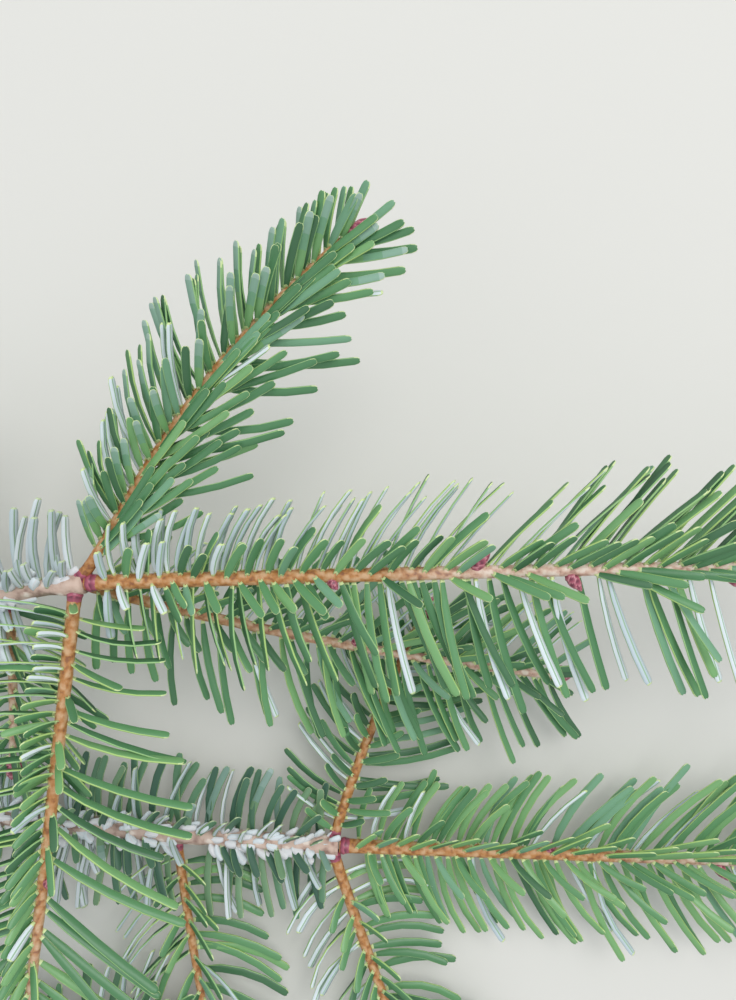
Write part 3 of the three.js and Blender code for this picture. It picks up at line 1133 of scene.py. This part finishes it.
@dataclass(frozen=True)
class TwigSkin(BarkSkin):
    """Bark of a last-year twig: smooth resinous skin over raised needle cushions, orange brown near
    the foot and pinkish further on, with dark furrows between the cushions, which are painted shade."""

    name: str = "young_fir_bark"
    plain: Tones = Tones("#8a5734", "#b57a41", "#cca47c")
    blushed: Tones = Tones("#ab8476", "#cda995", "#e3d1c2")
    stops: tuple[float, float, float] = (0.38, 0.56, 0.9)
    relief: float = 0.34
    mottling: float = 1.0
    mottle: tuple[float, float] = (1.1, 4.0)
    grain: tuple[float, float] = (1.1, 4.0)
    bump: float = 0.4
    depth: float = 0.2
    roughness: float = 0.55
    coat: float = 0.1
    coat_roughness: float = 0.4


@dataclass(frozen=True)
class LimbBark(BarkSkin):
    """Bark of a branch two and more years old: matt, pinkish grey and finely cracked, warmer towards
    its younger end, with small rounded scars where needles have dropped."""

    name: str = "older_fir_bark"
    plain: Tones = Tones("#6f5a50", "#a89388", "#cfbfb4")
    blushed: Tones = Tones("#947268", "#ceb2a2", "#e6d7cb")
    stops: tuple[float, float, float] = (0.18, 0.34, 0.9)
    relief: float = 1.0
    mottling: float = 0.6
    mottle: tuple[float, float] = (2.2, 5.0)
    grain: tuple[float, float] = (0.6, 3.0)
    bump: float = 0.5
    depth: float = 0.25
    roughness: float = 0.85
    coat: float = 0.0
    coat_roughness: float = 0.03


@dataclass(frozen=True)
class BudScale:
    """Resin-glazed bud scales: paler, pinker rims and a faint gloss, with a darker wine red in their
    laps under the rim of the scale above, which is painted shade.
    """

    name: str = "resinous_bud_scales"
    tones: Tones = Tones("#6c2c40", "#ad546a", "#d8999f")
    stops: tuple[float, float, float] = (0.0, 0.5, 1.0)
    roughness: float = 0.4
    coat: float = 0.3
    coat_roughness: float = 0.25

    def material(self) -> bpy.types.Material:
        """Makes the scales: one ramp from their laps to their rims.

        Returns:
            The material.
        """
        material, tree, shader = new_material(
            self.name, Roughness=self.roughness, Coat_Weight=self.coat, Coat_Roughness=self.coat_roughness
        )
        # The rim mark is low in the laps, where the ramp paints shade with the dark wine red.
        rim = add_node(tree, "ShaderNodeAttribute", attribute_name="cushion").outputs["Fac"]
        ramp = add_node(tree, "ShaderNodeValToRGB", {"Fac": rim})
        tree.links.new(self.tones.lay(ramp, self.stops), shader.inputs["Base Color"])
        return material


# Bark and buds.


def ripples(s: np.ndarray, angle: np.ndarray, seed: int, length: float) -> np.ndarray:
    """Uneven relief round a stem: a sum of sine waves along it, each also winding round it a whole
    number of times, at seeded lengths and phases.

    Args:
        s: Distances along the stem, in mm.
        angle: Angles round it, in radians.
        seed: The stem's number.
        length: The longest wave, in mm.

    Returns:
        Heights of about -1 to 1, by distance and angle.
    """
    waves, shortest, windings, phases = 14, 0.15, 5, 6.28
    source = np.random.default_rng(seed)
    total = np.zeros((len(s), len(angle)))
    for _ in range(waves):
        pitch = length * source.uniform(shortest, 1.0)
        winding = source.integers(-windings, windings + 1)
        total += np.sin(2 * np.pi * s[:, None] / pitch + winding * angle[None] + source.uniform(0, phases))
    return total / math.sqrt(waves)


@dataclass(frozen=True)
class Cushion:
    """The raised seat under a needle, in mm: a long slope behind the needle's root and a short steep
    end before it. The higher flat is, the flatter its top and the steeper its sides. level is the
    share of its height that counts as the stem's own radius, and at_once how many are worked out at a
    time."""

    behind: float
    ahead: float
    wide: float
    height: float
    flat: float
    level: float = 0.4
    at_once: int = 64

    def heights(
        self, s: np.ndarray, angle: np.ndarray, radius: np.ndarray, place: np.ndarray, seat: np.ndarray
    ) -> np.ndarray:
        """The cushions of a stem: at each root a mound that falls off as the exponential of a power of
        the squared distance along and round the stem, over other lengths ahead and behind; the highest
        one counts.

        Args:
            s: Distances along the stem, in mm.
            angle: Angles round it from its back, in radians.
            radius: The stem's radius at each distance.
            place: The needles' distances along the stem.
            seat: How far round it from its back they are rooted, in degrees.

        Returns:
            Heights from 0 to 1, by distance and angle.
        """
        height = np.zeros((len(s), len(angle)))
        for first in range(0, len(place), self.at_once):
            some = slice(first, first + self.at_once)
            along = s[:, None, None] - place[some]
            along = along / np.where(along < 0, self.behind, self.ahead)
            turn = angle[None, :, None] - np.radians(seat[some])
            round_it = ((turn + np.pi) % (2 * np.pi) - np.pi) * radius[:, None, None] / self.wide
            height = np.maximum(height, np.exp(-((along**2 + round_it**2) ** self.flat)).max(axis=-1))
        return height


@dataclass(frozen=True)
class Bark:
    """The bark of one kind of shoot: a tube whose surface is pushed out by its cushions and its
    ripples, in mm. wave is the longest ripple, and ripple_tint the share of the ripples in the mark
    that the finish reads."""

    sides: int
    step: float
    cushion: Cushion
    ripple: float
    wave: float
    ripple_tint: float = 0.1

    def patch(
        self,
        line: CentreLine,
        seed: int,
        roots: tuple[np.ndarray, np.ndarray],
        ends: tuple[float, float],
        swellings: tuple[tuple[float, float, float], ...],
        blush: tuple[float, float],
    ) -> Patch:
        """The bark's mesh: at each distance and angle, the radius with its swellings, each a Gaussian
        of the distance from its place, plus the cushions' height and the ripples.

        Args:
            line: The shoot's centre line.
            seed: Its number, for the ripples.
            roots: The distances along it of the needles that sit on it, and how far round it they do.
            ends: Where the bark starts and stops, in mm along the line.
            swellings: For each, its place, the share by which it swells the stem, and its reach.
            blush: The shares of the shoot between which its bark turns pink.

        Returns:
            The bark as a patch, with its cushion and blush marks.
        """
        s = evenly(*ends, self.step)
        angle = full_turn(self.sides)
        radius = line.radius(s)
        for middle, more, reach in swellings:
            radius = radius * (1 + more * np.exp(-(((s - middle) / reach) ** 2)))
        height = self.cushion.heights(s, angle, radius, *roots)
        rough = ripples(s, angle, seed, self.wave)
        full = radius[:, None] + self.cushion.height * (height - self.cushion.level) + self.ripple * rough
        points = line.skin(s, angle, full)
        pink = np.interp(s / line.length, blush, (0.0, 1.0))
        marks = {
            "cushion": np.clip(height + self.ripple_tint * rough, 0.0, 1.0),
            "blush": np.broadcast_to(pink[:, None], height.shape),
        }
        return tube(points[:, ::-1], {key: value[:, ::-1] for key, value in marks.items()})


TWIG_BARK = Bark(20, 0.35, Cushion(behind=1.8, ahead=0.35, wide=0.72, height=0.06, flat=2.2), 0.03, 9.0)
LIMB_BARK = Bark(30, 0.7, Cushion(behind=0.8, ahead=0.6, wide=0.6, height=0.12, flat=2.0), 0.1, 14.0)
LIMB_BLUSH = (0.55, 1.0)


@dataclass(frozen=True)
class BudShape:
    """A bud as an egg of lapping scales with rounded rims, in rows that stand half a scale apart.
    step is how much lower a scale's foot lies than its rim, lobe how far its rim is rounded, start
    the share of the egg that is cut off at its foot, blunt and full the powers of its profile, pale
    how light its rims are, and first_side the way towards which its first corner lies."""

    rows: int = 4
    scales: int = 5
    step: float = 0.16
    lobe: float = 0.5
    pale: float = 1.0
    rings: int = 18
    sides: int = 20
    start: float = 0.16
    blunt: float = 0.85
    full: float = 0.8
    least: float = 0.01
    first_side: tuple[float, float, float] = (0.31, 0.17, 0.93)

    def patch(
        self, foot: np.ndarray, way: np.ndarray, radius: float, length: float, open_end: float = 0.0
    ) -> Patch:
        """One bud: at each share of its length and angle round it, the profile's radius times one
        less the step, scaled by how far short of its scale's rim the point lies.

        Args:
            foot: Where the bud starts, in the sheet.
            way: Where it points.
            radius: Its largest radius, in mm.
            length: Its length, in mm.
            open_end: The share of the radius that is left at its tip, for a collar round a twig.

        Returns:
            The bud as a patch, with its marks.
        """
        u = np.linspace(0.0, 1.0, self.rings)
        angle = full_turn(self.sides)
        gone = (self.start + (1 - self.start) * u) ** self.blunt
        profile = open_end + (1 - open_end) * np.sin(np.pi * gone).clip(self.least) ** self.full
        v = u[:, None] * self.rows
        row = np.floor(v)
        turns = angle[None] / (2 * np.pi) * self.scales
        lobes = [np.abs(np.cos(np.pi * (turns + 0.5 * ((row + k) % 2)))) for k in (0, 1)]
        rims = [row + k + 1 - self.lobe * (1 - lobe) for k, lobe in enumerate(lobes)]
        short = np.where(v < rims[0], rims[0] - v, rims[1] - v).clip(0.0, 1.0)
        reach = radius * profile[:, None] * (1.0 - self.step * short)
        way = unit(way)
        side = square_to(np.array(self.first_side), way)
        ring = side * np.cos(angle)[:, None] + np.cross(way, side) * np.sin(angle)[:, None]
        points = foot + way * (u * length)[:, None, None] + ring[None] * reach[..., None]
        # The mark is highest at the scales' rims and falls into the laps, where the finish paints shade.
        return tube(points, {"cushion": self.pale * (1.0 - short)})


@dataclass(frozen=True)
class CutEnd:
    """The sawn end of the main stem. Each ring is its share of the stem's radius, how far it stands
    out in mm, and the finish from it to the next: bark, bast, spring and summer wood by turns, pith."""

    rings: tuple[tuple[float, float, int], ...] = (
        (1.02, 0.0, 0),
        (0.9, 0.06, 1),
        (0.84, 0.1, 2),
        (0.62, 0.1, 3),
        (0.6, 0.07, 2),
        (0.4, 0.1, 3),
        (0.38, 0.07, 2),
        (0.13, 0.08, 4),
        (0.01, 0.04, 4),
    )
    sides: int = 32

    def patch(self, line: CentreLine) -> Patch:
        """The cut as a low closed dome: at each ring and angle, the stem's radius times its share.

        Args:
            line: The main stem's centre line.

        Returns:
            The cut end as a patch.
        """
        girth, out, finish = (np.array(values) for values in zip(*self.rings))
        patch = tube(line.skin(-out, full_turn(self.sides), (girth * line.radii[0])[:, None]))
        patch.finishes = [np.repeat(finish[:-1], self.sides), finish[[0, -1]]]
        return patch


@dataclass(frozen=True)
class DormantBud:
    """A small side bud part way along a twig: its place, the angle round the stem, its size, and how
    far from it no needle is rooted."""

    twig: str
    place: float
    turn: float
    radius: float
    length: float
    room: float = 2.4


DORMANT_BUDS = (
    DormantBud("upper_leader", 51.6, -66, 1.15, 2.8),
    DormantBud("upper_leader", 81.5, 62, 1.4, 5.6, room=5.0),
    DormantBud("upper_leader", 101.0, -88, 1.45, 4.6),
    DormantBud("upper_leader", 133.5, -84, 1.5, 5.0),
    DormantBud("main_leader", 93.5, -82, 1.5, 5.0),
    DormantBud("main_leader", 52.0, 70, 1.2, 3.2),
    DormantBud("lower_twig", 62.0, 66, 1.1, 3.0),
    DormantBud("under_twig", 66.0, 60, 1.1, 3.0),
    DormantBud("lower_leader", 48.0, 72, 1.2, 3.4),
    DormantBud("lower_leader", 96.0, -70, 1.2, 3.4),
)


# The bough and the studio.


@dataclass
class Bough:
    """The whole cut bough: its centre lines and its shoots' needles, bark and buds.
    Lengths are in mm, angles in degrees, and sinks and seats are shares of a stem's radius."""

    rule: NeedleRule = NeedleRule()
    blade: NeedleBlade = NeedleBlade()
    bud: BudShape = BudShape()
    collar_scales: BudShape = BudShape(rows=2, scales=7, step=0.1, lobe=0.35, pale=0.6)
    end_bud_radius: float = 1.75
    side_bud_radius: float = 1.25
    side_bud_length: float = 4.0
    side_bud_splay: float = 48.0
    side_bud_depth: float = 0.3
    dormant_room: float = 56.0
    dormant_seat: float = 0.6
    dormant_lean: float = 0.75
    collar_length: float = 2.7
    collar_girth: float = 1.24
    collar_mouth: float = 0.72
    collar_seat: float = 0.8
    leader_collar_depth: float = 0.2
    old_past: float = 7.0
    old_end: float = 3.0
    stubs_past: float = 9.0
    stubs_end: float = 2.0
    stub_seed: int = 40
    stub_turn: float = 88.0
    twig_start: float = 0.5
    twig_stop: float = 1.0
    root_shift: float = 0.6
    root_turn: float = 14.0
    foot_swelling: tuple[float, float, float] = (0.0, 0.06, 3.0)
    scar_pitch: float = 1.5
    scar_end: float = 2.0
    scar_seed: int = 77
    limb_start: float = 1.5
    limb_seed: int = 90
    fork_swelling: float = 0.12
    fork_reach: float = 4.5

    def __post_init__(self) -> None:
        """Walks the centre lines and finds the sheet's place in the part's frame: the shift is the
        packed main stem's lowest corner, less that of the same eight-sided bar drawn in the sheet."""
        self.lines = walk_bough()
        line = self.lines["main_stem"]
        s = evenly(0.0, line.length, CAD_RING_STEP)
        points = line.skin(s, full_turn(CAD_STEM_SIDES), line.radius(s)[:, None])
        self.shift = np.array(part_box("main_stem")[0]) / MM - points.min(axis=(0, 1))
        self.floor = -self.shift[2]

    def twig_places(self, name: str) -> np.ndarray:
        """How far along a twig its needles are rooted."""
        habit = HABITS[name]
        return evenly(habit.foot, self.lines[name].length - END_BUD_LENGTH, habit.pitch)

    def twig_needles(self, name: str) -> Needles:
        """The needles of one twig, less those that would run into another shoot or stand at a bud.

        Args:
            name: The twig's name.

        Returns:
            Its needles.
        """
        line, seed = self.lines[name], list(TWIGS).index(name)
        needles = self.rule.needles(line, HABITS[name], seed, self.twig_places(name), self.floor)
        free = needles.clear_of(self.lines, name)
        for bud in (bud for bud in DORMANT_BUDS if bud.twig == name):
            past = needles.place - bud.place
            near = (past > -bud.room) & (past < bud.room / 2)
            free &= ~(near & (np.abs(needles.turn - bud.turn) < self.dormant_room))
        return needles.take(free)

    def stretch_needles(self, name: str, habit: Habit, past: float, end: float, seed: int) -> Needles:
        """The needles of one stretch of a limb's flank.

        Args:
            name: The stretch's name.
            habit: How they stand.
            past: How far beyond the stretch they go on.
            end: What is left free before the limb's end.
            seed: What is added to the stretch's own number.

        Returns:
            Its needles.
        """
        stretch = STRETCHES[name]
        line = self.lines[stretch.limb]
        places = evenly(stretch.start, min(stretch.stop + past, line.length - end), habit.pitch)
        number = list(STRETCHES).index(name) + seed
        return self.rule.needles(line, habit, number, places, self.floor, stretch.flank)

    def old_needles(self, name: str) -> Patch:
        """The old needles of one stretch, less those that would run into another shoot.

        Args:
            name: The stretch's name.

        Returns:
            The needles as a patch.
        """
        limb = STRETCHES[name].limb
        needles = self.stretch_needles(name, HABITS[limb], self.old_past, self.old_end, 0)
        return self.blade.patch(needles.take(needles.clear_of(self.lines, limb)), self.floor)

    def stubs(self, name: str) -> Patch:
        """The short bleached needles that lie along the back of one stretch.

        Args:
            name: The stretch's name.

        Returns:
            The needles as a patch: bleached above and on their bands, and wax pale at their edges.
        """
        needles = self.stretch_needles(name, STUBS, self.stubs_past, self.stubs_end, self.stub_seed)
        patch = self.blade.patch(needles.take(np.abs(needles.turn) < self.stub_turn), self.floor)
        skin = patch.finishes[0]
        bleached = (skin < GREENS) | np.isin(skin, (Strip.KEEL.value, Strip.BAND.value))
        patch.finishes[0] = np.where(bleached, Strip.BLEACHED.value, Strip.BAND.value)
        return patch

    def end_buds(self, name: str) -> list[Patch]:
        """The cluster of one large and two smaller buds at a twig's end.

        Args:
            name: The twig's name.

        Returns:
            The three buds.
        """
        line = self.lines[name]
        _, way, left, _ = line.here(line.length)
        start = line.at(np.array(line.length - END_BUD_LENGTH))
        buds = [self.bud.patch(start, way, self.end_bud_radius, END_BUD_LENGTH)]
        splay = math.radians(self.side_bud_splay)
        for side in (-1, 1):
            aim = way * math.cos(splay) + left * side * math.sin(splay)
            foot = start - aim * self.side_bud_depth
            buds.append(self.bud.patch(foot, aim, self.side_bud_radius, self.side_bud_length))
        return buds

    def collar(self, name: str) -> Patch:
        """The ring of old bud scales round a twig's foot, where it comes out of its parent.

        Args:
            name: The twig's name.

        Returns:
            The collar.
        """
        line, plan = self.lines[name], TWIGS[name]
        sunk = self.leader_collar_depth
        if plan.at is not None:
            sunk = float(self.lines[plan.parent].radius(plan.at)) * self.collar_seat
        place = np.array([sunk, sunk + self.collar_length])
        foot, end = line.at(place)
        girth = float(line.radius(sunk)) * self.collar_girth
        return self.collar_scales.patch(foot, end - foot, girth, self.collar_length, self.collar_mouth)

    def dormant_bud(self, bud: DormantBud) -> Patch:
        """One side bud, seated in the bark and pointing outwards and forwards.

        Args:
            bud: The bud.

        Returns:
            Its patch.
        """
        line = self.lines[bud.twig]
        point, way, left, back = line.here(bud.place)
        turn = math.radians(bud.turn)
        out = left * math.sin(turn) + back * math.cos(turn)
        foot = point + out * float(line.radius(bud.place)) * self.dormant_seat
        return self.bud.patch(foot, out + way * self.dormant_lean, bud.radius, bud.length)

    def twig_bark(self, name: str) -> Patch:
        """One twig's bark, with a cushion under each of its needles.

        Args:
            name: The twig's name.

        Returns:
            The bark.
        """
        line, places, seed = self.lines[name], self.twig_places(name), list(TWIGS).index(name)
        source = np.random.default_rng(seed)
        shift, turn = (source.uniform(-most, most, len(places)) for most in (self.root_shift, self.root_turn))
        roots = (places + shift, self.rule.seats(len(places), seed) + turn)
        start = 0.0 if TWIGS[name].at is None else self.twig_start
        ends = (start, line.length - END_BUD_LENGTH + self.twig_stop)
        return TWIG_BARK.patch(line, seed, roots, ends, (self.foot_swelling,), HABITS[name].blush)

    def limb_bark(self, limb: str) -> Patch:
        """One limb's bark, with scars where needles dropped, and swellings where shoots leave it.

        Args:
            limb: The limb's name.

        Returns:
            The bark.
        """
        line = self.lines[limb]
        places = evenly(self.scar_end, line.length - self.scar_end, self.scar_pitch)
        roots = (places, self.rule.turns(len(places), self.scar_seed))
        forks = [plan.at for plan in {**LIMBS, **TWIGS}.values() if plan.parent == limb and plan.at]
        swellings = tuple((float(at), self.fork_swelling, self.fork_reach) for at in forks)
        ends = (self.limb_start if LIMBS[limb].parent else 0.0, line.length)
        return LIMB_BARK.patch(line, self.limb_seed + len(limb), roots, ends, swellings, LIMB_BLUSH)

    def family_pieces(self, family: Family, finishes: dict[str, list[bpy.types.Material]]) -> list[Piece]:
        """All pieces of one family: needles, old needles, twig bark, limb bark and buds.

        Args:
            family: Which part of the bough.
            finishes: The materials of each of the record's slots.

        Returns:
            The pieces, not yet built.
        """
        key = family.value
        limb = f"{key}_stem"
        twigs = tuple(name for name, plan in TWIGS.items() if plan.parent == limb)
        stretches = tuple(name for name, stretch in STRETCHES.items() if stretch.limb == limb)
        buds = [patch for name in twigs for patch in (*self.end_buds(name), self.collar(name))]
        buds += [self.dormant_bud(bud) for bud in DORMANT_BUDS if bud.twig in twigs]
        needles = [self.blade.patch(self.twig_needles(name), self.floor) for name in twigs]
        old = [self.old_needles(name) for name in stretches] + [self.stubs(name) for name in stretches]
        rows = (
            ("needles", "needles", twigs, needles),
            ("old_needles", "old_needles", stretches, old),
            ("twig_bark", "young_bark", twigs, [self.twig_bark(name) for name in twigs]),
            ("limb_bark", "bark", (limb,), [self.limb_bark(limb)]),
            ("buds", "buds", twigs, buds),
        )
        return [Piece(f"{key}_{name}", slot, nodes, finishes[slot], made) for name, slot, nodes, made in rows]


@dataclass(frozen=True)
class Lamp:
    """A square soft lamp that faces the bough's middle: its place and side in metres, its power in
    watts, and its colour."""

    name: str
    place: tuple[float, float, float]
    side: float
    power: float
    tint: str

    def hang(self) -> None:
        """Puts the lamp in the scene."""
        light = bpy.data.lights.new(self.name, "AREA")
        light.size = self.side
        light.energy = self.power
        light.color = linear(self.tint)[:3]
        thing = put(self.name, light)
        thing.location = self.place
        aim = -np.array(self.place)
        yaw = math.atan2(aim[0], -aim[1])
        tip = math.atan2(math.hypot(aim[0], aim[1]), -aim[2])
        thing.rotation_euler = (tip, 0.0, yaw + math.pi)


@dataclass(frozen=True)
class Studio:
    """The pale floor, the soft lights and the camera, which looks straight down as the photo does. The
    floor's side is in metres, and the camera's place in the sheet."""

    floor_side: float = 30.0
    floor_paint: str = "#dcdad4"
    floor_roughness: float = 0.9
    key: Lamp = Lamp("key", (0.5, 0.7, 1.5), 1.0, 13.0, "#ffffff")
    fill: Lamp = Lamp("fill", (-1.0, -0.3, 1.2), 1.4, 2.0, "#e8f0ff")
    sky: str = "#eef2f5"
    sky_strength: float = 0.82
    camera_place: tuple[float, float, float] = (-1.0, 0.5, 206.0)
    lens: float = 28.0
    sensor: float = 36.0
    clip_start: float = 0.005

    def floor(self) -> None:
        """A plain pale painted floor, which isn't part of the object."""
        half = self.floor_side / 2
        mesh = bpy.data.meshes.new("studio_floor")
        corners = [(-half, -half, 0), (half, -half, 0), (half, half, 0), (-half, half, 0)]
        mesh.from_pydata(corners, [], [(0, 1, 2, 3)])
        paint = linear(self.floor_paint)
        matt = new_material("matt_floor_paint", Base_Color=paint, Roughness=self.floor_roughness)[0]
        mesh.materials.append(matt)
        thing = put("studio_floor", mesh)

    def lights(self) -> None:
        """A wide key from the upper right, a fill from the left and a pale sky."""
        self.key.hang()
        self.fill.hang()
        world = bpy.data.worlds.new("pale_sky")
        world.use_nodes = True
        back = world.node_tree.nodes["Background"]
        back.inputs["Color"].default_value = linear(self.sky)
        back.inputs["Strength"].default_value = self.sky_strength
        bpy.context.scene.world = world

    def camera(self, shift: np.ndarray) -> None:
        """The camera: straight above the photo's middle, with the photo's up along +Y.

        Args:
            shift: What takes a sheet point to the part's frame, in mm.
        """
        data = bpy.data.cameras.new("camera")
        data.lens = self.lens
        data.sensor_width = self.sensor
        data.clip_start = self.clip_start
        thing = put("camera", data)
        thing.location = tuple((np.array(self.camera_place) + shift) * MM)
        bpy.context.scene.camera = thing
        bpy.context.scene.view_settings.view_transform = "Standard"


def main() -> None:
    """Builds the bough's pieces family by family, then its cut end, the floor, lights and camera."""
    logging.basicConfig(level=logging.INFO, format="%(name)s: %(message)s")
    bough = Bough()
    log.info("the sheet's shift is %s mm", np.round(bough.shift, 3))
    kinds = {
        "needles": GREEN_NEEDLES,
        "old_needles": OLD_NEEDLES,
        "young_bark": (TwigSkin(),),
        "bark": (LimbBark(),),
        "buds": (BudScale(),),
        "cut": CUT_FINISHES,
    }
    finishes = {slot: [finish.material() for finish in kind] for slot, kind in kinds.items()}
    for family in Family:
        for piece in bough.family_pieces(family, finishes):
            piece.build(bough.shift)
    cut = CutEnd().patch(bough.lines["main_stem"])
    Piece("main_stem_cut_end", "bark", ("main_stem",), finishes["cut"], [cut]).build(bough.shift)
    studio = Studio()
    studio.floor()
    studio.lights()
    studio.camera(bough.shift)


if __name__ == "__main__":
    main()
